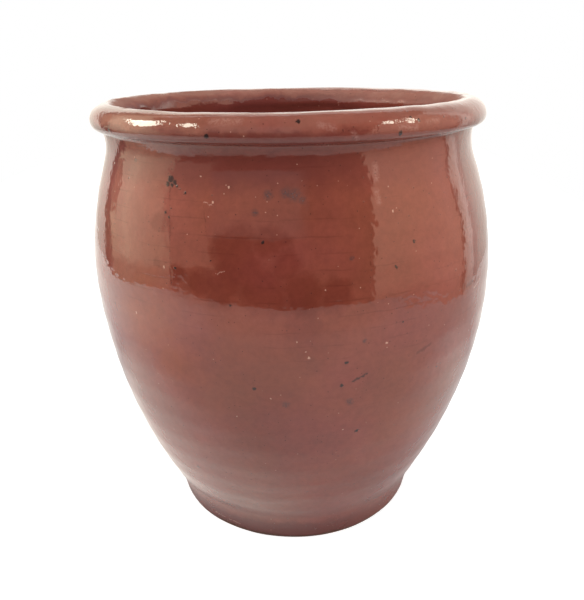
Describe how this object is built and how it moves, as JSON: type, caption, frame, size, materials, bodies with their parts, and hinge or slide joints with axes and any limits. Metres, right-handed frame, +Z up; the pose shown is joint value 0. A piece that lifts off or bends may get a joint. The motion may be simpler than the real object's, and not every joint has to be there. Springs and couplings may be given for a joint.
{
  "type": "preserve crock",
  "caption": "Wide-mouthed red clay storage jar with a rolled rim, a hollow neck for a tied cover, full shoulders, a tapered wall and a low foot.",
  "frame": {"origin": "middle of the flat underside that the crock stands on", "axes": "+Z up along the axis that the crock was turned on, +Y away from the front seen in the picture"},
  "size_m": [0.228, 0.228, 0.24],
  "materials": {
    "fired_red_clay": "bare fired earthenware, matt and slightly sandy",
    "lead_glaze": "glossy brown-red lead glaze over red clay"
  },
  "bodies": {
    "root": {"clay_body": "fired_red_clay", "glaze_coat": "lead_glaze"}
  },
  "joints": []
}
